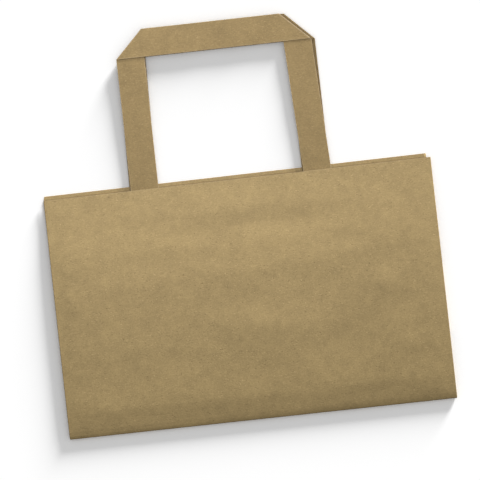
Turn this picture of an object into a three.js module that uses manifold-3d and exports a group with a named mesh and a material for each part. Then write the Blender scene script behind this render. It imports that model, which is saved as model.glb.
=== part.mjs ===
// Kraft paper carrier bag with a block bottom, side gussets and flat tape handles
// It is folded flat and lies on its back: X runs across it, +Y from the bottom fold to the handles, +Z up
// The frame's origin is under the middle of the outline, on the surface that the bag lies on

import * as THREE from 'three';
import { mergeVertices } from 'three/addons/utils/BufferGeometryUtils.js';
import Module from 'manifold-3d';

const wasm = await Module();
wasm.setup();

// The sheet
const PAPER = 0.15;
const PLY_GAP = 0.35;            // air between two plies of the folded sheet
const FOLD_REACH = 0.4;          // how far a pressed crease stands out from the plies that it joins
const FOLD_PRESS = 0.05;         // how much thinner the paper is where it is creased
const GLUE_PRESS = 0.02;         // how far glued plies press into each other
const LAP = 0.2;                 // how far a ply runs on into its crease
const OVERRUN = 0.3;             // how far a crease or ply runs past the place where it is cut or joined

// The bag
const BAG_WIDTH = 320;
const FRONT_HEIGHT = 197.5;      // bottom fold to the front panel's edge
const REAR_LIP = 3.5;            // how far the rear panel stands past the front panel
const LIP_INSET_LEFT = 1;        // how far the lip's corners stand in from the sides
const LIP_INSET_RIGHT = 4;
const BAG_DEPTH = 110;           // front to rear once it is opened: a folded gusset is half as wide
const FLAP_OVERLAP = 20;         // width of the glued seam along the middle of the bottom
const GUSSET_SPREAD = 1.9;       // gap between the two halves of a folded gusset

// The rounded bottom fold
const NOSE_RUN = 25;             // how far up the front panel the rounding reaches
const NOSE_FOOT = 3;             // how far under the bag it reaches
const NOSE_HEIGHT = 2.2;         // its outermost line above the surface

// The handles and their patches
const TAPE_WIDTH = 23;
const TAPE_THICKNESS = 0.45;     // three plies of paper glued flat
const MITRE_GAP = 0.1;           // between the plies of tape at a mitred corner
const HANDLE_RISE = 131.2;       // front panel's edge to the top of the band
const TAPE_END_GAP = 5;          // a tape's end to the patch's lower edge
const PATCH_WIDTH = 190;
const PATCH_HEIGHT = 45;
const SEAT_GAP = 0.3;            // clearance between pieces that lie on each other

// Each handle is set a little to the left and leans: spans are over its outer edges
const FRONT_HANDLE = { topSpan: 161, topShift: -7.2, mouthSpan: 165.7, mouthShift: -4.9 };
const REAR_HANDLE = { topSpan: 163.1, topShift: -5.2, mouthSpan: 166.9, mouthShift: -5.8 };

// Fineness of the curved stretches
const BEND_STEPS = 4;
const NOSE_STEPS = 7;
const SLOPE_STEPS = 6;
const MOUTH_STEPS = 3;
const STRAIGHT = 1e-4;           // a row that bends less is left out
const GENTLE = THREE.MathUtils.degToRad(7);   // gentler slopes keep their points straight above each other

// Heights of the plies' middles over the folded bottom, from the surface up
const OUTER_FLAP = PAPER / 2;
const INNER_FLAP = OUTER_FLAP + PAPER;
const MITRE_PLY = INNER_FLAP + PAPER;
const END_PLY = MITRE_PLY + PAPER;
const PITCH = PAPER + PLY_GAP;
const GUSSET_FOOT = END_PLY + PITCH;
const GUSSET_HEEL = GUSSET_FOOT + PITCH;
const REAR_STRIP = GUSSET_HEEL + PITCH;
const REAR_CREST = REAR_STRIP + PITCH;
const FRONT_CREST = REAR_CREST + PITCH + GUSSET_SPREAD + PITCH;

// Undersides of what lies between the panels at the mouth, from the rear panel up
const REAR_TAPE = PAPER + SEAT_GAP;
const REAR_PATCH = REAR_TAPE + TAPE_THICKNESS + SEAT_GAP;
const FRONT_PATCH = REAR_PATCH + PAPER + PLY_GAP;
const FRONT_TAPE = FRONT_PATCH + PAPER + SEAT_GAP;
const FRONT_MOUTH = FRONT_TAPE + TAPE_THICKNESS + SEAT_GAP + PAPER / 2;

const SIDE = BAG_WIDTH / 2;
const GUSSET = BAG_DEPTH / 2;
const FLAP = GUSSET + FLAP_OVERLAP / 2;
const REAR_HEIGHT = FRONT_HEIGHT + REAR_LIP;
const PATCH_FOOT = FRONT_HEIGHT - PATCH_HEIGHT;
const BAND_TOP = FRONT_HEIGHT + HANDLE_RISE;

const easeDown = (y, from, to) => {
  const share = THREE.MathUtils.clamp((y - from) / (to - from), 0, 1);
  return (1 + Math.cos(Math.PI * share)) / 2;
};

// The rear panel sinks from the folded bottom to the surface before it reaches the patch
const rearAt = (y) => OUTER_FLAP + (REAR_CREST - OUTER_FLAP) * easeDown(y, BAG_DEPTH, PATCH_FOOT);
const rearGussetAt = (y) => rearAt(y) + PITCH;

// The front panel rounds up from the bottom fold and sinks gently towards the mouth
const frontAt = (y) => {
  const flat = FRONT_MOUTH + (FRONT_CREST - FRONT_MOUTH) * easeDown(y, BAG_DEPTH, FRONT_HEIGHT);
  const inward = 1 - Math.min((y - PAPER / 2) / (NOSE_RUN - PAPER / 2), 1);
  return flat - (FRONT_CREST - NOSE_HEIGHT) * (1 - Math.sqrt(1 - inward * inward));
};
const frontGussetAt = (y) => frontAt(y) - PITCH;
const level = (height) => () => height;

// Every ply has points at the same distances up the bag, so that plies and creases match
const split = (from, to, steps) => Array.from({ length: steps }, (_, i) => from + (to - from) * i / steps);
const rows = [
  ...split(0, Math.PI / 2, NOSE_STEPS).map(
    (angle) => THREE.MathUtils.lerp(NOSE_RUN, PAPER / 2, Math.cos(angle))),
  NOSE_RUN,
  ...split(BAG_DEPTH, PATCH_FOOT, SLOPE_STEPS),
  ...split(PATCH_FOOT, FRONT_HEIGHT, MOUTH_STEPS),
  FRONT_HEIGHT,
];

// The rows between two places up the bag, without those where none of the heights bends
function rowsBetween(from, to, heights) {
  const stops = [from, ...rows.filter((y) => y > from && y < to), to];
  const bends = (y, i) => heights.some((height) => {
    const straight = THREE.MathUtils.mapLinear(
      y, stops[i - 1], stops[i + 1], height(stops[i - 1]), height(stops[i + 1]));
    return Math.abs(height(y) - straight) > STRAIGHT;
  });
  return stops.filter((y, i) => i === 0 || i === stops.length - 1 || bends(y, i));
}

const sideView = (height, from, to) => rowsBetween(from, to, [height]).map(
  (y) => new THREE.Vector2(y, height(y)));

// The side view of a fold across the bag, round its centre at (y, z)
function turn(y, z, reach, rise, fromAngle, toAngle) {
  return [...split(fromAngle, toAngle, BEND_STEPS), toAngle].map(
    (angle) => new THREE.Vector2(y + reach * Math.cos(angle), z + rise * Math.sin(angle)));
}

// A closed mesh as a solid, its faces turned outwards
function toSolid(geometry) {
  geometry.deleteAttribute('normal');
  geometry.deleteAttribute('uv');
  const merged = mergeVertices(geometry, 1e-5);
  const corner = (i) => new THREE.Vector3().fromBufferAttribute(
    merged.attributes.position, merged.index.getX(i));
  const faces = new Uint32Array(merged.index.array);
  let volume = 0;
  for (let i = 0; i < faces.length; i += 3) volume += corner(i).dot(corner(i + 1).cross(corner(i + 2)));
  if (volume < 0) {
    for (let i = 0; i < faces.length; i += 3) [faces[i], faces[i + 1]] = [faces[i + 1], faces[i]];
  }
  const vertProperties = new Float32Array(merged.attributes.position.array);
  return new wasm.Manifold(new wasm.Mesh({ numProp: 3, vertProperties, triVerts: faces }));
}

const joined = (solids) => solids.reduce((sum, solid) => sum.add(solid));

// A stretch of paper whose side view follows a line of points, as wide as from left to right
function ribbon(points, left, right) {
  const offsets = points.map((_, i) => {
    const before = points[Math.max(i - 1, 0)];
    const after = points[Math.min(i + 1, points.length - 1)];
    const along = after.clone().sub(before).normalize();
    const flat = Math.abs(along.x) > Math.cos(GENTLE);
    return flat ? new THREE.Vector2(0, Math.sign(along.x) * PAPER / 2)
      : new THREE.Vector2(-along.y, along.x).multiplyScalar(PAPER / 2);
  });
  const one = points.map((point, i) => point.clone().add(offsets[i]));
  const other = points.map((point, i) => point.clone().sub(offsets[i]));
  const outline = new THREE.Shape([...one, ...other.reverse()]);
  const geometry = new THREE.ExtrudeGeometry(outline, { depth: right - left, bevelEnabled: false });
  const acrossBag = new THREE.Matrix4().makeBasis(
    new THREE.Vector3(0, 1, 0), new THREE.Vector3(0, 0, 1), new THREE.Vector3(1, 0, 0));
  return toSolid(geometry.applyMatrix4(acrossBag).translate(left, 0, 0));
}

// A flat stretch of paper or tape, cut to an outline seen from above
function plate(outline, underside, thickness) {
  const shape = new THREE.Shape(outline.map(([x, y]) => new THREE.Vector2(x, y)));
  const geometry = new THREE.ExtrudeGeometry(shape, { depth: thickness, bevelEnabled: false });
  return toSolid(geometry.translate(0, 0, underside));
}

// A half ring swept along a crease: from and to lie on its outermost line, seen from above,
// and the ring is drawn out to reach from the lower ply to the upper one
function crease({ from, to, outward, low, high, thickness = PAPER - FOLD_PRESS, reach = FOLD_REACH }) {
  const stops = rowsBetween(from[1], to[1], [low, high]);
  const ring = new THREE.Shape();
  ring.absarc(0, 0, 3, -Math.PI / 2, Math.PI / 2);
  ring.absarc(0, 0, 1, Math.PI / 2, -Math.PI / 2, true);
  const steps = stops.length - 1;
  const geometry = new THREE.ExtrudeGeometry(
    ring, { depth: steps, steps, curveSegments: BEND_STEPS, bevelEnabled: false });
  const position = geometry.attributes.position;
  for (let i = 0; i < position.count; i += 1) {
    const y = stops[Math.round(position.getZ(i))];
    const x = THREE.MathUtils.mapLinear(y, from[1], to[1], from[0], to[0]);
    const angle = Math.atan2(position.getY(i), position.getX(i));
    const skin = (Math.hypot(position.getX(i), position.getY(i)) - 2) * thickness / 2;
    const out = (reach - thickness / 2 + skin) * Math.cos(angle) - reach;
    const z = (low(y) + high(y)) / 2 + ((high(y) - low(y)) / 2 + skin) * Math.sin(angle);
    position.setXYZ(i, x + outward[0] * out, y + outward[1] * out, z);
  }
  return toSolid(geometry);
}

// Front panel with its rounded bottom fold, and the flap that it carries across the bottom
function frontPanel(edge) {
  const underNose = turn(
    NOSE_FOOT, NOSE_HEIGHT, NOSE_FOOT - PAPER / 2, NOSE_HEIGHT - INNER_FLAP, 1.5 * Math.PI, Math.PI);
  const panel = [...underNose, ...sideView(frontAt, rows[0], FRONT_HEIGHT + OVERRUN).slice(1)];
  const foot = NOSE_FOOT - LAP;
  const flap = [[SIDE - foot, foot], [SIDE - FLAP, FLAP], [FLAP - SIDE, FLAP], [foot - SIDE, foot]];
  return [
    ribbon(panel, edge - SIDE, SIDE - edge),
    plate(flap, INNER_FLAP - PAPER / 2, PAPER),
  ];
}

// Rear panel, its lip, the strip that is folded down behind it, and the outer flap of the bottom
function rearPanel(edge) {
  const reach = FOLD_REACH - PAPER / 2;
  const foldY = GUSSET + PITCH + FOLD_REACH;
  const hinge = turn(foldY, (REAR_CREST + REAR_STRIP) / 2, reach, PITCH / 2, Math.PI / 2, 1.5 * Math.PI);
  const heelY = BAG_DEPTH - FOLD_REACH;
  const drop = (REAR_STRIP - OUTER_FLAP) / 2;
  const heel = turn(heelY, REAR_STRIP - drop, reach, drop, Math.PI / 2, -Math.PI / 2);
  const panel = sideView(rearAt, foldY, REAR_HEIGHT).reverse();
  const seam = BAG_DEPTH - FLAP;
  const foot = heelY + LAP;
  const lip = REAR_HEIGHT + LAP;
  const offcuts = [
    [[-SIDE, FRONT_HEIGHT], [LIP_INSET_LEFT - SIDE, lip], [-SIDE, lip]],
    [[SIDE, FRONT_HEIGHT], [SIDE, lip], [SIDE - LIP_INSET_RIGHT, lip]],
  ];
  const sheet = ribbon([...panel.slice(0, -1), ...hinge, ...heel], edge - SIDE, SIDE - edge);
  return [
    offcuts.reduce((rest, corner) => rest.subtract(plate(corner, -PITCH, 3 * PITCH)), sheet),
    plate([[edge - SIDE, foot], [FLAP - SIDE, seam], [SIDE - FLAP, seam], [SIDE - edge, foot]],
      OUTER_FLAP - PAPER / 2, PAPER),
  ];
}

// One side gusset, folded in half, with the triangle at its foot and its tuck under the bottom
// In here x is measured inwards from the bag's side, and side is -1 for the left and 1 for the right
function gusset(side, edge) {
  const at = ([x, y]) => [side * (SIDE - x), y];
  const sides = [edge, GUSSET - edge].map((x) => side * (SIDE - x)).sort((a, b) => a - b);
  const half = (points) => ribbon(points, ...sides);
  const ply = (outline, middle, press = 0) => plate(
    outline.map(at), middle - PAPER / 2 - press, PAPER + press);
  const fold = (from, to, outward, low, high) => crease(
    { from: at(from), to: at(to), outward: [-side * outward[0], outward[1]], low, high });

  const start = rows[1];
  const end = FRONT_HEIGHT + OVERRUN;
  const foldY = GUSSET + FOLD_REACH;
  const slant = edge * Math.SQRT2;
  const frontHalf = half(sideView(frontGussetAt, start, end));
  const underDiagonal = [[0, -LAP], [GUSSET, -LAP], [GUSSET, GUSSET + slant], [0, slant]].map(at);
  const rearHinge = turn(foldY, (rearGussetAt(foldY) + GUSSET_HEEL) / 2, FOLD_REACH - PAPER / 2,
    (rearGussetAt(foldY) - GUSSET_HEEL) / 2, 1.5 * Math.PI, Math.PI / 2);
  const halves = [
    frontHalf.subtract(plate(underDiagonal, 0, FRONT_CREST)),
    half([...rearHinge, ...sideView(rearGussetAt, foldY, end).slice(1)]),
  ];

  const heel = [
    [edge, foldY - LAP], [GUSSET - slant - FOLD_REACH, foldY - LAP], [edge, BAG_DEPTH - slant - edge]];
  const foot = [[edge, edge + slant], [GUSSET - slant, GUSSET], [edge, BAG_DEPTH - edge - slant]];
  const tuckStart = NOSE_FOOT / 2;
  const tuckEnd = BAG_DEPTH - 2 * FOLD_REACH;
  const tuck = [[edge, tuckStart], [FLAP, tuckStart], [FLAP, tuckEnd], [edge, tuckEnd]];
  const mitreStart = tuckStart + OVERRUN;
  const mitreEnd = FLAP - OVERRUN;
  const frontMitre = [
    [mitreStart + OVERRUN, mitreStart], [mitreEnd, mitreStart], [mitreEnd, mitreEnd - OVERRUN]];
  const rearMitre = frontMitre.map(([x, y]) => [x, BAG_DEPTH - y]).reverse();
  const plies = [
    ply(heel, GUSSET_HEEL),
    ply(foot, GUSSET_FOOT),
    ply(tuck, END_PLY, GLUE_PRESS),
    ply(frontMitre, MITRE_PLY, GLUE_PRESS),
    ply(rearMitre, INNER_FLAP, GLUE_PRESS),
  ];

  const outwards = [-1, 0];
  const inwards = [1, 0];
  const towardsFoot = [Math.SQRT1_2, -Math.SQRT1_2];
  const towardsMouth = [Math.SQRT1_2, Math.SQRT1_2];
  const sideFolds = [
    fold([0, start], [0, end], outwards, frontGussetAt, frontAt),
    fold([0, foldY + OVERRUN], [0, end], outwards, rearAt, rearGussetAt),
    fold([0, foldY + OVERRUN], [0, tuckEnd], outwards, level(GUSSET_HEEL), level(REAR_STRIP)),
    fold([0, tuckStart + LAP], [0, tuckEnd - LAP], outwards, level(END_PLY), level(GUSSET_FOOT)),
  ];
  const middleFold = fold([GUSSET, foldY - OVERRUN], [GUSSET, end], inwards, rearGussetAt, frontGussetAt);
  const diagonalFolds = [
    fold([start, start], [GUSSET + OVERRUN, GUSSET + OVERRUN], towardsFoot,
      level(GUSSET_FOOT), frontGussetAt),
    fold([GUSSET + OVERRUN, GUSSET - OVERRUN], [FOLD_REACH, BAG_DEPTH - FOLD_REACH], towardsMouth,
      level(GUSSET_FOOT), level(GUSSET_HEEL)),
  ];
  return [...halves, ...plies, ...sideFolds, middleFold, ...diagonalFolds];
}

function bagBody() {
  const edge = FOLD_REACH - LAP;
  const mouth = plate([[-BAG_WIDTH, FRONT_HEIGHT], [BAG_WIDTH, FRONT_HEIGHT],
    [BAG_WIDTH, REAR_HEIGHT], [-BAG_WIDTH, REAR_HEIGHT]], -PITCH, FRONT_CREST + 2 * PITCH);
  const front = joined([...frontPanel(edge), ...gusset(-1, edge), ...gusset(1, edge)]).subtract(mouth);
  return joined([front, ...rearPanel(edge)]);
}

// Where two lines meet, each through a point and along a direction
function meet(p, along, q, other) {
  const gap = new THREE.Vector2().subVectors(q, p);
  return p.clone().addScaledVector(along, gap.cross(other) / along.cross(other));
}

// Flat tape from one end up, over a mitred fold, across and down again: the band lies on the legs
function tapeHandle({ topSpan, topShift, mouthSpan, mouthShift }, underside) {
  const bandFoot = BAND_TOP - TAPE_WIDTH;
  const tapeEnd = PATCH_FOOT + TAPE_END_GAP;
  const overLeg = TAPE_THICKNESS + MITRE_GAP;
  const reach = TAPE_THICKNESS + MITRE_GAP / 2;
  const across = new THREE.Vector2(1, 0);
  const corners = [-1, 1].map((side) => {
    const top = new THREE.Vector2(topShift + side * topSpan / 2, bandFoot);
    const mouth = new THREE.Vector2(mouthShift + side * mouthSpan / 2, FRONT_HEIGHT);
    const up = top.clone().sub(mouth).normalize();
    const inward = new THREE.Vector2(-side * up.y, side * up.x);
    const inner = top.clone().addScaledVector(inward, TAPE_WIDTH);
    const tip = meet(inner, up, new THREE.Vector2(0, BAND_TOP), across);
    const mitre = tip.clone().sub(top).normalize();
    const out = new THREE.Vector2(side * mitre.y, -side * mitre.x);
    return { side, top, inner, up, tip, mitre, out };
  });
  const silhouette = [];
  const solids = corners.flatMap(({ top, inner, up, tip, mitre, out }) => {
    const inset = top.clone().addScaledVector(out, LAP - reach);
    const onInset = (point, along) => meet(point, along, inset, mitre).toArray();
    const onEnd = (point) => meet(point, up, new THREE.Vector2(0, tapeEnd), across).toArray();
    const leg = [onEnd(top), onInset(top, up), onInset(inner, up), onEnd(inner)];
    const past = mitre.clone().multiplyScalar(reach);
    const from = top.clone().sub(past);
    const to = tip.clone().add(past);
    silhouette.push([onEnd(inner), onEnd(top), top.toArray(), tip.toArray()]);
    return [
      plate(leg, underside, TAPE_THICKNESS),
      crease({ from: from.toArray(), to: to.toArray(), outward: out.toArray(), reach,
        thickness: TAPE_THICKNESS - FOLD_PRESS,
        low: level(underside + TAPE_THICKNESS / 2),
        high: level(underside + TAPE_THICKNESS / 2 + overLeg) }),
    ];
  });
  const band = corners.flatMap(({ side, top, mitre, out }) => {
    const inset = top.clone().addScaledVector(out, LAP - reach);
    const ends = [bandFoot, BAND_TOP].map(
      (y) => meet(new THREE.Vector2(0, y), across, inset, mitre).toArray());
    return side < 0 ? ends : ends.reverse();
  });
  const outline = [...silhouette[0], ...silhouette[1].toReversed()];
  const envelope = plate(outline, underside - LAP, TAPE_THICKNESS + overLeg + 2 * LAP);
  return joined([...solids, plate(band, underside + overLeg, TAPE_THICKNESS)]).intersect(envelope);
}

// Reinforcing patch, centred over the ends of its handle
function patch({ mouthShift }, underside) {
  const left = mouthShift - PATCH_WIDTH / 2;
  const right = mouthShift + PATCH_WIDTH / 2;
  return plate([[left, PATCH_FOOT], [right, PATCH_FOOT], [right, FRONT_HEIGHT - TAPE_END_GAP / 2],
    [left, FRONT_HEIGHT - TAPE_END_GAP / 2]], underside, PAPER);
}

const kraft = { roughness: 0.85, metalness: 0 };
const materials = {
  bag_body: new THREE.MeshStandardMaterial({ ...kraft, color: '#a58f6a' }),
  handle: new THREE.MeshStandardMaterial({ ...kraft, color: '#a38d62' }),
  patch: new THREE.MeshStandardMaterial({ ...kraft, color: '#ab9670' }),
};

function toMesh(name, solid, material) {
  const { vertProperties, triVerts } = solid.getMesh();
  const geometry = new THREE.BufferGeometry();
  geometry.setAttribute('position', new THREE.BufferAttribute(vertProperties, 3));
  geometry.setIndex(new THREE.BufferAttribute(triVerts, 1));
  geometry.computeVertexNormals();
  const mesh = new THREE.Mesh(geometry, material);
  mesh.name = name;
  return mesh;
}

const carrierBag = new THREE.Group();
carrierBag.add(
  toMesh('bag_body', bagBody(), materials.bag_body),
  toMesh('front_handle', tapeHandle(FRONT_HANDLE, FRONT_TAPE), materials.handle),
  toMesh('rear_handle', tapeHandle(REAR_HANDLE, REAR_TAPE), materials.handle),
  toMesh('front_patch', patch(FRONT_HANDLE, FRONT_PATCH), materials.patch),
  toMesh('rear_patch', patch(REAR_HANDLE, REAR_PATCH), materials.patch),
);
carrierBag.position.y = -BAND_TOP / 2;

export default carrierBag;
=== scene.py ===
# %% [markdown]
# # A kraft paper carrier bag, folded flat
#
# The bag lies on its back on a white table and is seen from straight above. It is one glued sheet of brown
# paper, with two handles of folded paper tape and two patches that hold them inside the mouth.
# The solids give every ply and every fold. This script gives them the look of paper: the soft swells of a
# panel that doesn't lie quite flat, round folds on the tape, the fibres, flecks and wear of kraft, and
# painted highlights and painted shade along its folds and edges.

# %% Load the solids and keep their box
import math
from collections import namedtuple

import bmesh
import bpy
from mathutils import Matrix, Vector, noise


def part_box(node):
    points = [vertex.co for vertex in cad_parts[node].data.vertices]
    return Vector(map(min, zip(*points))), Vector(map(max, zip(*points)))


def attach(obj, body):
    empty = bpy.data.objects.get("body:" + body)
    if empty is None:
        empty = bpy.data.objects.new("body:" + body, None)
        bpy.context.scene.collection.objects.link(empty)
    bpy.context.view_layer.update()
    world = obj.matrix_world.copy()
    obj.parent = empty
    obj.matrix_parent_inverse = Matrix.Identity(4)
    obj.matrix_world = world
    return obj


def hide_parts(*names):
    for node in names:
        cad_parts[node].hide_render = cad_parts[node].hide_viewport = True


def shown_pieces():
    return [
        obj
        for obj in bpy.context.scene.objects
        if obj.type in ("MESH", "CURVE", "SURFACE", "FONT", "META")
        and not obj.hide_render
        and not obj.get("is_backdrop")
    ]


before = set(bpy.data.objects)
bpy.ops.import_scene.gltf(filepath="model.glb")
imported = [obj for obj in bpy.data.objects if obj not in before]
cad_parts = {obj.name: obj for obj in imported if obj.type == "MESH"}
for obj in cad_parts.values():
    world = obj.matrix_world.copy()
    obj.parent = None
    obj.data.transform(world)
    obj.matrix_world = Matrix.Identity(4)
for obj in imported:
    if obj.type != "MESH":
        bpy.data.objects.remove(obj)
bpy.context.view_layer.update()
MM = 0.001

# %% [markdown]
# ## Where things are on the bag
#
# All places on the bag are easier to find from its bottom left corner than from the middle of its outline.
# One function turns such a place, in millimetres, into the scene's metres. Its numbers come from the box of
# the solid bag, so the looks stay on the solids. u runs to the right along the bottom fold, v runs up to the
# mouth, and z is the height above the table.

# %% Places on the bag
BAG_LOW, BAG_HIGH = (Vector(corner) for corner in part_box("bag_body"))
BAG_WIDTH = (BAG_HIGH.x - BAG_LOW.x) / MM
BAG_TOP = (BAG_HIGH.y - BAG_LOW.y) / MM
BAG_THICKNESS = (BAG_HIGH.z - BAG_LOW.z) / MM
BAG_DEPTH = 110                      # of the open bag: the folded bottom reaches this far up behind
REAR_LIP = 3.5                       # the rear panel stands this far past the front panel
FRONT_EDGE = BAG_TOP - REAR_LIP      # from the bottom fold to the front panel's cut edge


def on_bag(u, v, z=0.0):
    """A place u to the right of the bag's bottom left corner, v up the bag and z above the table."""
    return Vector((BAG_LOW.x + u * MM, BAG_LOW.y + v * MM, z * MM))


print(f"the bag is {BAG_WIDTH:.0f} wide, {BAG_TOP:.0f} to the lip and {BAG_THICKNESS:.1f} thick")

# %% [markdown]
# ## The camera
#
# The photograph is taken from straight above, and the bag lies turned a little to the left in it. Turning the
# camera the other way keeps the bag square to the axes. A long lens from far away shows no perspective, as in
# a catalogue picture. The lens follows from the width of table that the picture takes in.

# %% Camera straight above, turned a little
PICTURE_WIDTH = 394.7                # of the table, in millimetres
PICTURE_CENTRE = (156.9, 147.35)     # on the bag
BAG_TURN = math.radians(6.35)        # the bag's turn to the left in the picture
CAMERA_HEIGHT = 2400
SENSOR = 36


def in_scene(name, data):
    """A new object of the scene that shows this mesh, lamp or camera."""
    made = bpy.data.objects.new(name, data)
    bpy.context.scene.collection.objects.link(made)
    return made


camera_data = bpy.data.cameras.new("camera")
camera_data.sensor_width = SENSOR
camera_data.lens = SENSOR * CAMERA_HEIGHT / PICTURE_WIDTH
camera = in_scene("camera", camera_data)
camera.location = on_bag(*PICTURE_CENTRE, CAMERA_HEIGHT)
camera.rotation_euler = (0, 0, -BAG_TURN)
bpy.context.scene.camera = camera
print(f"lens {camera_data.lens:.0f} mm")

# %% [markdown]
# ## Nodes written as sums
#
# A material is a small calculation that runs at each point of a surface. Wiring its nodes by hand hides the
# sum, so a small class wraps one output of a node. Adding or multiplying two of these makes the Math node
# in between, and every other kind of node comes from one method.

# %% A wire between nodes
class Wire:
    """One output of a shader node, which can be calculated with."""

    def __init__(self, tree, socket=None):
        self.tree = tree
        self.socket = socket

    def node(self, kind, settings, sockets, out=0):
        """A node of that kind, with its settings made first and then its sockets given values or wires."""
        made = self.tree.nodes.new("ShaderNode" + kind)
        for name, value in settings.items():
            if name == "stops":
                for stop, (position, shade) in zip(made.color_ramp.elements, value):
                    stop.position, stop.color = position, (shade, shade, shade, 1)
            else:
                setattr(made, name, value)
        for name, value in sockets.items():
            if isinstance(value, Wire):
                self.tree.links.new(value.socket, made.inputs[name])
            else:
                made.inputs[name].default_value = value
        return Wire(self.tree, made.outputs[out] if made.outputs else None)

    def math(self, operation, one, other):
        """A Math node of two values or wires."""
        return self.node("Math", {"operation": operation}, {0: one, 1: other})

    def __add__(self, other):
        return self.math("ADD", self, other)

    def __sub__(self, other):
        return self.math("SUBTRACT", self, other)

    def __rsub__(self, other):
        return self.math("SUBTRACT", other, self)

    def __mul__(self, other):
        return self.math("MULTIPLY", self, other)

    __radd__ = __add__
    __rmul__ = __mul__


def blank(owner):
    """The emptied node tree of a material or a world, ready to be wired."""
    owner.use_nodes = True
    owner.node_tree.nodes.clear()
    return Wire(owner.node_tree)


# %% [markdown]
# ## Kraft paper
#
# Unbleached kraft is a felt of long brown fibres. Close up it is never one colour: bundles of fibre lie in
# it as short dark and pale threads in all directions, the pulp is cloudy where it is thicker, and specks of
# bark and husk remain. The surface is matt, with a faint nap. An image of paper could be laid on the sheet,
# but it would repeat and blur, so noise makes all of it, stretched into threads where fibres are wanted.
#
# Folds and cut edges are either pale or dark. The pale is partly rubbing and partly a painted highlight where
# they face the light, and the dark is painted shade. A painted attribute on each point of the mesh says
# which:
# above 0 the paper is rubbed and lit pale by that share, and below 0 it is darkened by painted shade.

# %% What is seen in the paper
PALE_FIBRE = (0.58, 0.42, 0.20, 1)
DARK_FIBRE = (0.15, 0.105, 0.048, 1)
# Pale for rubbed folds and painted highlights, and dark for painted shade
WORN_AND_LIT_PAPER = (0.58, 0.45, 0.27, 1)
PAINTED_SHADE_COLOUR = (0.09, 0.058, 0.024, 1)
# Directions in degrees, length and width in millimetres, and how much of the paper they cover
PALE_THREADS = {"turns": (18, 74, 131), "length": 3.2, "width": 0.5, "share": 0.37}
DARK_THREADS = {"turns": (47, 101, 163), "length": 2.4, "width": 0.4, "share": 0.35}
BARK = {"turns": (5,), "length": 1.7, "width": 0.9, "share": 0.325}
HUSKS = {"turns": (88,), "length": 1.9, "width": 0.9, "share": 0.325}
# How far each of them colours a coarse paper
PALE_TINT = 0.20
DARK_TINT = 0.18
BARK_TINT = 0.50
HUSK_TINT = 0.45
# Size in millimetres and strength of the clouds in the pulp and of the specks
CLOUDS = [(22, 0.05), (7, 0.09)]
SPECKS = (1.4, 0.10)
# Rubbed places and painted highlights are broken up by small clouds
RUB_AND_HIGHLIGHT_SHARE = 0.75
RUB_AND_HIGHLIGHT_CLOUDS = (3, 0.3)
# Relief: threads and specks stand out, and glue cockles the paper in wider clouds
THREAD_RELIEF = 0.6
SPECK_RELIEF = 2
COCKLE_SIZE = 9
RELIEF = {"Strength": 0.6, "Distance": 0.1 * MM}
# Gloss: dark fibres shine a little, rubbed paper doesn't
ROUGHNESS = 0.88
CLOUD_ROUGHNESS = 0.6
DARK_ROUGHNESS = -0.2
RUB_ROUGHNESS = 0.08
NAP = {"Specular IOR Level": 0.12, "Sheen Weight": 0.05, "Sheen Roughness": 0.6}
RAMP = 0.06                          # a thread fades out over this much of its noise


def threads(paper, place, turns, length, width, share):
    """Short threads that lie along some directions, as one mask that adds them up.

    Each direction looks up the noise at its own place, so that no two show the same threads.
    """
    size = (1 / (length * MM), 1 / (width * MM), 1 / (width * MM))
    low = 1 - share
    masks = []
    for turn in turns:
        along = paper.node("Mapping", {}, {
            "Vector": place, "Rotation": (0, 0, math.radians(turn)), "Location": (turn, 2 * turn, 0),
            "Scale": size})
        grain = paper.node("TexNoise", {}, {
            "Vector": along, "Scale": 1.0, "Detail": 1.0, "Roughness": 0.4})
        masks.append(paper.node("ValToRGB", {"stops": [(low, 0), (low + RAMP, 1)]}, {"Fac": grain}))
    return sum(masks[1:], masks[0])


def clouds(paper, place, size):
    """Soft noise with spots of about that size in millimetres, from about -1 to 1."""
    spots = paper.node("TexNoise", {}, {
        "Vector": place, "Scale": 1 / (size * MM), "Detail": 3.0, "Roughness": 0.6})
    return spots * 4 - 2


def tinted(paper, base, factor, colour):
    """The base colour, mixed with another as far as factor says. A Mix node's colours go by number."""
    return paper.node("Mix", {"data_type": "RGBA"}, {0: factor, 6: base, 7: colour}, out=2)


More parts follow.
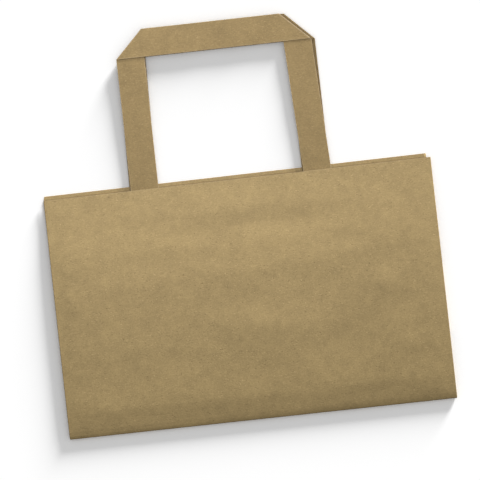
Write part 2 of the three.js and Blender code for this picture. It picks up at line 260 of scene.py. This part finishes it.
def kraft(name, colour, cockle, grain):
    """Brown paper: its own colour, how strongly the glue behind it cockles it, and how coarse it looks."""
    material = bpy.data.materials.new(name)
    paper = blank(material)
    place = paper.node("TexCoord", {}, {}, out="Object")
    wear_and_painted_light = paper.node("Attribute", {"attribute_name": "wear_and_painted_light"}, {}, out="Fac")

    wide, small = (clouds(paper, place, size) * strength for size, strength in CLOUDS)
    cloudy = wide + small
    speckled = clouds(paper, place, SPECKS[0]) * SPECKS[1]
    level = cloudy + speckled + 1
    pulp = paper.node("VectorMath", {"operation": "SCALE"}, {0: colour, "Scale": level})

    pale = threads(paper, place, **PALE_THREADS) * (PALE_TINT * grain)
    dark = threads(paper, place, **DARK_THREADS) * (DARK_TINT * grain)
    bark = threads(paper, place, **BARK)
    husks = threads(paper, place, **HUSKS)
    # Pale where rubbed and where a painted highlight lies on an edge facing the light, dark where painted
    # shade lies
    rubbed_and_lit = paper.math("MAXIMUM", wear_and_painted_light, 0) * (
        RUB_AND_HIGHLIGHT_SHARE + clouds(paper, place, RUB_AND_HIGHLIGHT_CLOUDS[0]) * RUB_AND_HIGHLIGHT_CLOUDS[1])
    painted_shade = paper.math("MAXIMUM", 0 - wear_and_painted_light, 0)
    seen = pulp
    for factor, tint in (
            (pale, PALE_FIBRE), (dark, DARK_FIBRE), (bark * (BARK_TINT * grain), DARK_FIBRE),
            (husks * (HUSK_TINT * grain), PALE_FIBRE), (rubbed_and_lit, WORN_AND_LIT_PAPER), (painted_shade, PAINTED_SHADE_COLOUR)):
        seen = tinted(paper, seen, factor, tint)

    relief = ((pale + dark + husks - bark) * THREAD_RELIEF + speckled * SPECK_RELIEF
              + clouds(paper, place, COCKLE_SIZE) * cockle)
    bump = paper.node("Bump", {}, {"Height": relief, **RELIEF})
    roughness = ROUGHNESS + cloudy * CLOUD_ROUGHNESS + dark * DARK_ROUGHNESS + rubbed_and_lit * RUB_ROUGHNESS
    surface = paper.node("BsdfPrincipled", {}, {
        "Base Color": seen, "Roughness": roughness, "Normal": bump, **NAP})
    paper.node("OutputMaterial", {}, {"Surface": surface})
    return material


SHEET_PAPER = kraft("kraft_sheet", (0.391, 0.283, 0.126), cockle=0.30, grain=1.0)
TAPE_PAPER = kraft("kraft_tape", (0.288, 0.203, 0.087), cockle=0.15, grain=0.6)
PATCH_PAPER = kraft("kraft_patch", (0.39, 0.285, 0.135), cockle=0.20, grain=0.8)
print("papers:", [m.name for m in (SHEET_PAPER, TAPE_PAPER, PATCH_PAPER)])

# %% [markdown]
# ## Finishing a piece
#
# Each finished mesh goes through the same last steps: a material, the node that it stands for, the body that
# it rides on, and smooth shading that stops at real edges. Paper bends softly but creases sharply, so only
# edges that turn by more than 35 degrees are kept sharp.

# %% From mesh to finished piece
CREASE_ANGLE = math.radians(35)


def finished(name, mesh, material, node):
    """The piece that stands for a solid: it lies where the solid lay, rides on the root body, and hides the
    solid.
    """
    data = bpy.data.meshes.new(name)
    mesh.to_mesh(data)
    mesh.free()
    data.materials.append(material)
    data.shade_smooth()
    data.set_sharp_from_angle(angle=CREASE_ANGLE)
    piece = in_scene(name, data)
    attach(piece, "root")
    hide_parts(node)
    print(f"{name}: {len(data.polygons)} faces")
    return piece


# %% [markdown]
# ## The folded sheet
#
# The solid has every ply of the bag, but long flat faces that can't bend. A modifier could subdivide them,
# which would also round off the folds. Cutting a copy along evenly spaced planes keeps every fold where it
# is and gives the flat plies a fine grid of points to move. A few rows of points lie close to the folds and
# cut edges, so that the wear, painted highlights and painted shade on the outermost points fade out within
# a millimetre.

# %% Cut a copy of the bag into a fine grid
GRID = 4.0
WELD = 0.002                         # points closer than this are one point
SNAP = 0.0005                        # a cut closer than this to a point goes through the point
# Wear and painted highlights reach in this far from a fold or a cut edge; the crease rows bound painted
# shade.
RIM = 0.7                            # how far wear reaches in from a fold or a cut edge
LIP_START = FRONT_EDGE + 0.05        # points further up than this are on the lip
CREASE_ROW = 0.1                     # first row of points past a line that is dusky on one side
CREASE_END = 1.1                     # and the last row that is dusky
ACROSS, UP = Vector((1, 0, 0)), Vector((0, 1, 0))


def cut(mesh, place, normal):
    """Cuts the whole mesh along one plane, so that it gets points there. Nothing is taken away."""
    everything = mesh.verts[:] + mesh.edges[:] + mesh.faces[:]
    bmesh.ops.bisect_plane(mesh, geom=everything, dist=SNAP * MM, plane_co=place, plane_no=normal)


def sliced(mesh, normal, places):
    """Cuts the mesh along planes with that normal, at those distances from the bag's corner."""
    for place in places:
        cut(mesh, on_bag(place, place), normal)


def steps(low, high, size):
    """Evenly spaced places from low to high, about size apart."""
    count = round((high - low) / size)
    return [low + (high - low) * i / count for i in range(count + 1)]


body = bmesh.new()
body.from_mesh(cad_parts["bag_body"].data)
wear_and_painted_light = body.verts.layers.float.new("wear_and_painted_light")
bmesh.ops.remove_doubles(body, verts=body.verts, dist=WELD * MM)
sliced(body, ACROSS, [RIM, *steps(2 * RIM, BAG_WIDTH - 2 * RIM, GRID), BAG_WIDTH - RIM])
sliced(body, UP, [RIM, *steps(2 * RIM, FRONT_EDGE - 2 * RIM, GRID), FRONT_EDGE - RIM,
                  FRONT_EDGE + CREASE_ROW, FRONT_EDGE + CREASE_END, BAG_TOP - RIM])
print(f"the grid has {len(body.verts)} points")

# %% [markdown]
# ## Swells in the panel
#
# Paper that was folded by a machine and then handled doesn't lie dead flat. The front panel of the bag rises
# and sinks by half a millimetre or so: over the edge of the patches inside, over the plies of the bottom, and
# where a hand pressed it. In low light from the side these show as soft bright and dark clouds. Painting
# them on would be wrong in any other light, so the points are really moved. Each swell is a round hill or
# hollow with a place, two half widths and a height. Plies further down move less, and the ones on the table
# not at all, so no two plies ever meet.
#
# The same loop moves the points for what the solids leave out: the mouth and the bottom fold aren't quite
# parallel, the bottom fold lies a little further out, and the lip stops short of the right side.

# %% Hills and hollows of the panel
# Each is (u, v, half width across, half width up, height), all in millimetres
SWELLS = [
    (168, 159, 50, 7, -0.55),        # hollow under the patches' lower edge
    (168, 178, 60, 9, 0.30),
    (212, 127, 42, 8, 0.55),         # over the rear edge of the folded bottom
    (95, 124, 38, 8, 0.36),
    (25, 137, 18, 19, 0.60),
    (172, 74, 28, 12, 0.75),         # where the bottom's flaps overlap
    (240, 56, 24, 11, -0.42),
    (58, 49, 36, 8, -0.38),
    (278, 104, 26, 9, 0.28),
    (276, 141, 12, 7, 0.35),
    (284, 50, 22, 8, 0.22),
    (120, 24, 40, 9, 0.22),
]
RIPPLES = [(60, 20, 0.26), (24, 9, 0.10)]    # size across, size up and height of a softer noise
CALM_EDGE = 14                       # the swells fade out over this distance towards the mouth and the folds
SAG = 0.75                           # the panel lies this much lower over the folded bottom,
SAG_START = 30                       # from this far below the front panel's cut edge
SAG_RUN = 50                         # and fully so after this much more
PILLOW = 0.30                        # it sinks by this much more towards its side folds
ROLL_LIFT = 1.0                      # the bottom fold is plumper than in the solid
ROLL_SIZE = 14
FRONT_MOUTH = 3.05                   # height of the front panel at the mouth
NOSE_RUN = 25                        # the bottom fold is rounded this far up the front panel
NOSE_HEIGHT = 2.2                    # and its outermost line lies this high
LIP_NOTCH = 3.4                      # the lip's right end stops this far short of the side
SKEW = 0.48                          # the right side is this much longer at both ends, the left side shorter
DROOP = 0.8                          # the bottom fold lies this much further down than in the solid


def smooth(x):
    """A soft step from 0 to 1."""
    x = min(max(x, 0.0), 1.0)
    return x * x * (3 - 2 * x)


def swell(u, v):
    """How far the front panel stands above its even height, at one place on the bag."""
    hills = sum(
        height * math.exp(-0.5 * (((u - at_u) / wide) ** 2 + ((v - at_v) / tall) ** 2))
        for at_u, at_v, wide, tall, height in SWELLS)
    ripples = sum(height * noise.noise(Vector((u / wide, v / tall, 0))) for wide, tall, height in RIPPLES)
    calm_across = smooth(min(u, BAG_WIDTH - u) / CALM_EDGE)
    calm_up = smooth(min(v, FRONT_EDGE - v) / CALM_EDGE)
    sunk = SAG * smooth((FRONT_EDGE - SAG_START - v) / SAG_RUN) + PILLOW * (1 - calm_across) * calm_up
    roll = ROLL_LIFT * max(1 - v / ROLL_SIZE, 0) ** 2
    return (hills + ripples) * calm_across * calm_up - sunk + roll


def panel_height(v):
    """The front panel rises out of the rounded bottom fold, and sinks from the folded bottom to the mouth."""
    if v < NOSE_RUN:
        rise = math.sqrt(1 - (1 - max(v, 0) / NOSE_RUN) ** 2)
        return NOSE_HEIGHT + (BAG_THICKNESS - NOSE_HEIGHT) * rise
    fall = smooth((v - BAG_DEPTH) / (FRONT_EDGE - BAG_DEPTH))
    return BAG_THICKNESS + (FRONT_MOUTH - BAG_THICKNESS) * fall


even_places = {vertex: tuple((vertex.co - BAG_LOW) / MM) for vertex in body.verts}
for vertex, (u, v, z) in even_places.items():
    share = min(z / panel_height(v), 1) ** 2
    across = 2 * u / BAG_WIDTH - 1
    slip = SKEW * across * (2 * v / FRONT_EDGE - 1) - DROOP * (1 - v / FRONT_EDGE)
    past_lip = u - (BAG_WIDTH - LIP_NOTCH) if v > LIP_START else 0
    vertex.co += Vector((-max(past_lip, 0), slip, swell(u, v) * share)) * MM
print(f"the panel's highest point is at {max(vertex.co.z for vertex in body.verts) / MM:.2f} mm")

# %% [markdown]
# ## Wear, painted highlights and painted shade on the folds
#
# Rubbing takes the colour off a fold first, and a cut edge shows the pale inside of the sheet. The right
# fold and both cut edges are pale, partly from that wear and partly as a painted highlight, since they face
# the light from the top right. The left fold and the bottom fold face away from it and are darkened by
# painted shade. So is the line along which the lip comes out from under the front panel, where the open mouth
# lies in shade. All of it goes by where the points lay before they were moved.

# %% Paint the wear, highlights and shade of the sheet
# Pale shares are wear and painted highlight; the values further down are painted shade
RIGHT_WEAR_AND_HIGHLIGHT = 0.6
MOUTH_WEAR_AND_HIGHLIGHT = 0.35
LIP_WEAR_AND_HIGHLIGHT = 0.7
LIP_SHADE = 0.45
LEFT_FOLD_SHADE = 0.55
BOTTOM_FOLD_SHADE = 0.6
BOTTOM_RIM = 1.5 * RIM


def near(distance, reach):
    """1 on a line, fading to 0 over that reach."""
    return 1 - smooth(distance / reach)


for vertex, (u, v, z) in even_places.items():
    if v > LIP_START:
        cut_wear_and_highlight = LIP_WEAR_AND_HIGHLIGHT * near(BAG_TOP - v, RIM)
        # painted shade of the open mouth along the lip's crease
        painted_shade = LIP_SHADE * near(v - FRONT_EDGE, CREASE_END)
    else:
        cut_wear_and_highlight = MOUTH_WEAR_AND_HIGHLIGHT * near(FRONT_EDGE - v, RIM)
        # painted shade along the bottom fold and the left fold, which face away from the light
        painted_shade = max(BOTTOM_FOLD_SHADE * near(v, BOTTOM_RIM), LEFT_FOLD_SHADE * near(u, RIM))
    vertex[wear_and_painted_light] = max(RIGHT_WEAR_AND_HIGHLIGHT * near(BAG_WIDTH - u, RIM), cut_wear_and_highlight) - painted_shade
carrier = finished("folded_sheet", body, SHEET_PAPER, "bag_body")

# %% [markdown]
# ## The handles
#
# Each handle is one flat tape: paper folded several times over and glued. It comes up out of the mouth, is
# folded over at 45 degrees, runs across, and is folded down again. It could be cut from three flat bars, but
# then its corners would have no fold. Here the tape is made as the machine makes it: the end of the strip
# is pushed out to the fold line, turned over around that line by half a turn, and pushed on.

# %% Sizes of the tape
TAPE_WIDTH = 23
TAPE_THICKNESS = 0.45
TAPE_EDGE = 0.12                     # the folded long edges of the tape are eased by this much
FOLD_GAP = 0.1                       # between the plies at a turned corner
TAPE_FOOT = FRONT_EDGE - 40          # where the tape ends inside the bag
HANDLE_TOP = FRONT_EDGE + 131.2
# Top and mouth give the middle of a handle and its span over the outer edges, at the top of its legs and at
# the bag's mouth. Height is above the table, drop is how much less it stands out, and the last number darkens
# the whole tape with painted shade, as the rear tape lies in the shade of the front one.
HANDLES = {
    "front_handle": {"top": (152.8, 161), "mouth": (155.1, 165.7), "height": 2.15, "drop": 0, "tape_shade": 0},
    # the rear tape gets painted shade, as it lies in the shade of the front one
    "rear_handle": {"top": (154.8, 163.1), "mouth": (154.1, 165.6), "height": 0.45, "drop": 0.4, "tape_shade": 0.6},
}
Corner = namedtuple("Corner", "outer tip inner up")


def crossing(point, along, height):
    """Where a line through point along one direction comes to that height, seen from above."""
    return point + along * ((height - point.y) / along.y)


def corner_of(side, top, mouth, drop):
    """A turned corner: its fold line from outer end to tip, its leg's inner edge, and the leg's direction."""
    outer = Vector((top[0] + side * top[1] / 2, HANDLE_TOP - drop - TAPE_WIDTH))
    low = Vector((mouth[0] + side * mouth[1] / 2, FRONT_EDGE))
    up = (outer - low).normalized()
    inner = outer + Vector((-side * up.y, side * up.x)) * TAPE_WIDTH
    return Corner(outer, crossing(inner, up, HANDLE_TOP - drop), inner, up)


front = HANDLES["front_handle"]
print("fold line at the front left:", corner_of(-1, front["top"], front["mouth"], front["drop"])[:2])

# %% [markdown]
# The strip starts as a single face at the foot of the left leg. Each push is an extrusion whose new points
# are set on the fold line, and each turn is a spin of the end face about that line. The band ends up on top
# of both legs, so the first turn goes up and the second one down again. The first push takes the starting
# face away, so the foot is closed at the end.

# %% Fold a tape
TURN_STEPS = 8
# The tape's long edges and its folds are pale partly from wear and partly as a painted highlight where they
# catch the light. The right fold faces the light, so it is painted paler than the left one.
EDGE_WEAR_AND_HIGHLIGHT = [0.7, 0.6, 0]            # from the tape's long edge inwards
FOLD_RIM = 1.1                       # how far a rubbed fold reaches in
FOLD_WEAR_AND_HIGHLIGHT = (0.3, 0.9)               # at the left corner and at the right one


def section(outer, inner, low):
    """The tape's section between two points seen from above: a flat bar whose edges are eased."""
    way = (inner - outer).normalized()
    insets = (0, TAPE_EDGE, RIM)
    line = [outer + way * inset for inset in insets] + [inner - way * inset for inset in insets[::-1]]
    eased = (TAPE_EDGE, 0, 0, 0, 0, TAPE_EDGE)
    under = [on_bag(*point, low + ease) for point, ease in zip(line, eased)]
    over = [on_bag(*point, low + TAPE_THICKNESS - ease) for point, ease in zip(line, eased)]
    return under + over[::-1]


def pushed(mesh, face, corners):
    """Extrudes the end face and sets its new points at the given corners."""
    grown = bmesh.ops.extrude_discrete_faces(mesh, faces=[face])["faces"][0]
    for vertex, corner in zip(grown.verts, corners):
        vertex.co = corner
    return grown


def turned(mesh, face, corner, hinge):
    """Turns the end face half a turn about the fold line of a corner, at the height of the hinge."""
    centre = on_bag(*corner.outer, hinge)
    spun = bmesh.ops.spin(
        mesh, geom=[face, *face.edges, *face.verts], cent=centre, axis=centre - on_bag(*corner.tip, hinge),
        angle=math.pi, steps=TURN_STEPS, use_merge=False, use_duplicate=False)
    return next(item for item in spun["geom_last"] if isinstance(item, bmesh.types.BMFace))


def rub_and_light_fold(mesh, wear_and_painted_light, corner, worn_and_lit):
    """Paints a turned corner pale as wear and painted highlight; a cut beside the fold line keeps it from
    spreading.
    """
    way = (corner.tip - corner.outer).normalized()
    inward = Vector((way.y, -way.x)) * (1 if way.x > 0 else -1)
    cut(mesh, on_bag(*(corner.outer + inward * FOLD_RIM)), (*inward, 0))
    for vertex in mesh.verts:
        place = (vertex.co - BAG_LOW).xy / MM
        if (place - corner.outer).dot(inward) < FOLD_RIM / 2:
            vertex[wear_and_painted_light] = worn_and_lit


def folded_tape(top, mouth, height, drop, tape_shade):
    """A whole handle, folded from its left foot to its right one.

    Its edges and folds are painted pale as wear and highlight, and the whole tape darker by its painted
    shade.
    """
    corners = [corner_of(side, top, mouth, drop) for side in (-1, 1)]
    left, right = corners
    left_foot, right_foot = (
        [crossing(point, corner.up, TAPE_FOOT) for point in (corner.outer, corner.inner)]
        for corner in corners)
    hinge = height + TAPE_THICKNESS + FOLD_GAP / 2
    mesh = bmesh.new()
    wear_and_painted_light = mesh.verts.layers.float.new("wear_and_painted_light")
    start = [mesh.verts.new(place) for place in section(*left_foot, height)]
    # the tape's edges pale as wear and painted highlight, less the tape's painted shade
    for vertex, worn_and_lit in zip(start, 2 * (EDGE_WEAR_AND_HIGHLIGHT + EDGE_WEAR_AND_HIGHLIGHT[::-1])):
        vertex[wear_and_painted_light] = worn_and_lit - tape_shade
    end = mesh.faces.new(start)
    end = pushed(mesh, end, section(left.outer, left.tip, height))
    end = turned(mesh, end, left, hinge)
    end = pushed(mesh, end, section(right.outer, right.tip, height + TAPE_THICKNESS + FOLD_GAP)[::-1])
    end = turned(mesh, end, right, hinge)
    pushed(mesh, end, section(*right_foot, height))
    bmesh.ops.holes_fill(mesh, edges=mesh.edges[:], sides=0)
    # the folds pale as wear and painted highlight, the right one more as it faces the light, less the painted
    # shade
    for corner, worn_and_lit in zip(corners, FOLD_WEAR_AND_HIGHLIGHT):
        rub_and_light_fold(mesh, wear_and_painted_light, corner, worn_and_lit - tape_shade)
    bmesh.ops.recalc_face_normals(mesh, faces=mesh.faces)
    return mesh


# %% [markdown]
# A tape that has been folded flat never stays quite flat. It springs up a little towards the band, and
# its legs are gently wavy. The tape is cut across every few millimetres, and all points above one place
# rise together, so the turned corners stay shut. The band lies on the legs and casts a thin shadow on them,
# which is painted on as a dark line just below its edge.

# %% Make both handles and let them spring up
TAPE_GRID = 5
TOP_MARGIN = 2                       # the cuts stop this far below the top of the handle
BAND_SPAN = (80, 230)                # and across they stay between the turned corners
WAVE_SIZE = 26
WAVE_HEIGHT = 0.5
SPRING = {"front_handle": 1.0, "rear_handle": 0.8}
LEAN = 1.0                           # and by this much more at the left corner, fading out over the band
LEAN_SPAN = (60, 140)
# strength of the painted shadow of the band on the legs
BAND_SHADOW = 0.6

for name, sizes in HANDLES.items():
    tape = folded_tape(**sizes)
    sliced(tape, UP, steps(FRONT_EDGE, HANDLE_TOP - TOP_MARGIN, TAPE_GRID))
    sliced(tape, ACROSS, steps(*BAND_SPAN, TAPE_GRID))
    wear_and_painted_light = tape.verts.layers.float["wear_and_painted_light"]
    band_edge = HANDLE_TOP - sizes["drop"] - TAPE_WIDTH
    sliced(tape, UP, [band_edge - CREASE_END, band_edge - CREASE_ROW])
    for vertex in tape.verts:
        u, v, z = (vertex.co - BAG_LOW) / MM
        # painted shadow of the band on the legs, just below its edge
        if abs(v - band_edge) < CREASE_END / 2 and z < sizes["height"] + TAPE_THICKNESS + FOLD_GAP / 2:
            vertex[wear_and_painted_light] = -BAND_SHADOW
        free = smooth((v - FRONT_EDGE) / (HANDLE_TOP - FRONT_EDGE))
        wave = WAVE_HEIGHT * noise.noise(Vector((u, v, 0)) / WAVE_SIZE)
        lean = LEAN * near(u - LEAN_SPAN[0], LEAN_SPAN[1] - LEAN_SPAN[0])
        vertex.co.z += free * (SPRING[name] + lean + wave) * MM
    finished(name + "_tape", tape, TAPE_PAPER, name)

# %% [markdown]
# ## The patches
#
# The patches are glued inside the mouth over the ends of the handles. They are flat cut sheets, so the solids
# are already right and only need their paper.

# %% Paper on the patches
for name in ("front_patch", "rear_patch"):
    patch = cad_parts[name]
    patch.data.materials.clear()
    patch.data.materials.append(PATCH_PAPER)

# %% [markdown]
# ## The sheet before it was folded
#
# Around the bag it measures twice the width and twice the depth. Its length is the rear panel, half the depth
# and half the flaps' overlap, because the bottom closes over both panels. The handles and the patches are
# glued onto it. Nothing here builds the sheet flat: the folded solid stands for it.

# %% [markdown]
# ## The table
#
# The bag lies on a white table. A diffuse white takes its brightness from the lamps, so its shadow stays and
# yet its open parts are never quite white. Here the camera sees a brighter coat than the light does, which
# brings the open table to white without any more light on the paper.

# %% A white table
TABLE_SIZE = 12000
TABLE_DROP = 0.05                    # the table lies this far under the bag, so that the two never touch
TABLE_WHITE = 0.86
TABLE_SEEN = 0.66                    # added to the white where the camera or a reflection looks at it

grid = bmesh.new()
bmesh.ops.create_grid(grid, x_segments=1, y_segments=1, size=TABLE_SIZE * MM / 2)
table_data = bpy.data.meshes.new("table")
grid.to_mesh(table_data)
grid.free()
table = in_scene("table", table_data)
table.location.z = -TABLE_DROP * MM
table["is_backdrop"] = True

table_paint = bpy.data.materials.new("white_table")
paint = blank(table_paint)
by_camera, by_reflection = (
    paint.node("LightPath", {}, {}, out=ray) for ray in ("Is Camera Ray", "Is Glossy Ray"))
brightness = (by_camera + by_reflection) * TABLE_SEEN + TABLE_WHITE
white = paint.node("CombineColor", {}, {name: brightness for name in ("Red", "Green", "Blue")})
matt = paint.node("BsdfDiffuse", {}, {"Color": white})
paint.node("OutputMaterial", {}, {"Surface": matt})
table_data.materials.append(table_paint)
print(f"a table {TABLE_SIZE * MM:.0f} m wide")

# %% [markdown]
# ## Light
#
# Paper needs light from low down, or it looks like a flat colour. A broad soft window beyond the top right
# corner rakes over the panel and lays a wide soft shadow to the lower left. The photograph's paper is also
# brighter towards the handles, so a strip softbox hangs high above them, with a grid that keeps its light
# from spreading. It lights the paper only, or the table would show it too. The white room fills in the rest.

# %% The window, the softbox and the room
WINDOW_HEIGHT = math.radians(8.0)    # above the horizon
WINDOW_SIDE = math.radians(34)       # round from the top towards the right
WINDOW_SIZE = math.radians(14)
WINDOW_LIGHT = 0.29                  # the window's share of the light on the table
ROOM_LIGHT = 0.38                    # and the room's
SOFTBOX_PLACE = (120, 350)           # on the bag, in millimetres
SOFTBOX_HEIGHT = 800
SOFTBOX_SIZE = (700, 150)
SOFTBOX_SPREAD = math.radians(60)
SOFTBOX_COLOUR = (0.97, 1.0, 1.18)
SOFTBOX_POWER = 0.66                 # in watts


def lamp(name, kind, place, aim, **settings):
    """A lamp of that kind at a place, turned to another place."""
    data = bpy.data.lights.new(name, kind)
    for setting, value in settings.items():
        setattr(data, setting, value)
    made = in_scene(name, data)
    made.location = place
    made.rotation_euler = (aim - place).to_track_quat("-Z", "Y").to_euler()
    return made


middle = on_bag(BAG_WIDTH / 2, FRONT_EDGE / 2)
bearing = Vector((math.sin(WINDOW_SIDE), math.cos(WINDOW_SIDE), math.tan(WINDOW_HEIGHT)))
lamp("window", "SUN", middle + bearing, middle, angle=WINDOW_SIZE,
     energy=WINDOW_LIGHT * math.pi / math.sin(WINDOW_HEIGHT))
softbox = lamp("softbox", "AREA", on_bag(*SOFTBOX_PLACE, SOFTBOX_HEIGHT), on_bag(*SOFTBOX_PLACE),
               shape="RECTANGLE", size=SOFTBOX_SIZE[0] * MM, size_y=SOFTBOX_SIZE[1] * MM,
               spread=SOFTBOX_SPREAD, color=SOFTBOX_COLOUR, energy=SOFTBOX_POWER)
lit_paper = bpy.data.collections.new("lit_paper")
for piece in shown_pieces():
    lit_paper.objects.link(piece)
softbox.light_linking.receiver_collection = lit_paper

room = bpy.data.worlds.new("white_room")
air = blank(room)
strength = air.node("LightPath", {}, {}) * (1 - ROOM_LIGHT) + ROOM_LIGHT
sky = air.node("Background", {}, {"Color": (1, 1, 1, 1), "Strength": strength})
air.node("OutputWorld", {}, {"Surface": sky})
bpy.context.scene.world = room
bpy.context.scene.view_settings.view_transform = "Standard"
print("lit by a window, a softbox and a white room")
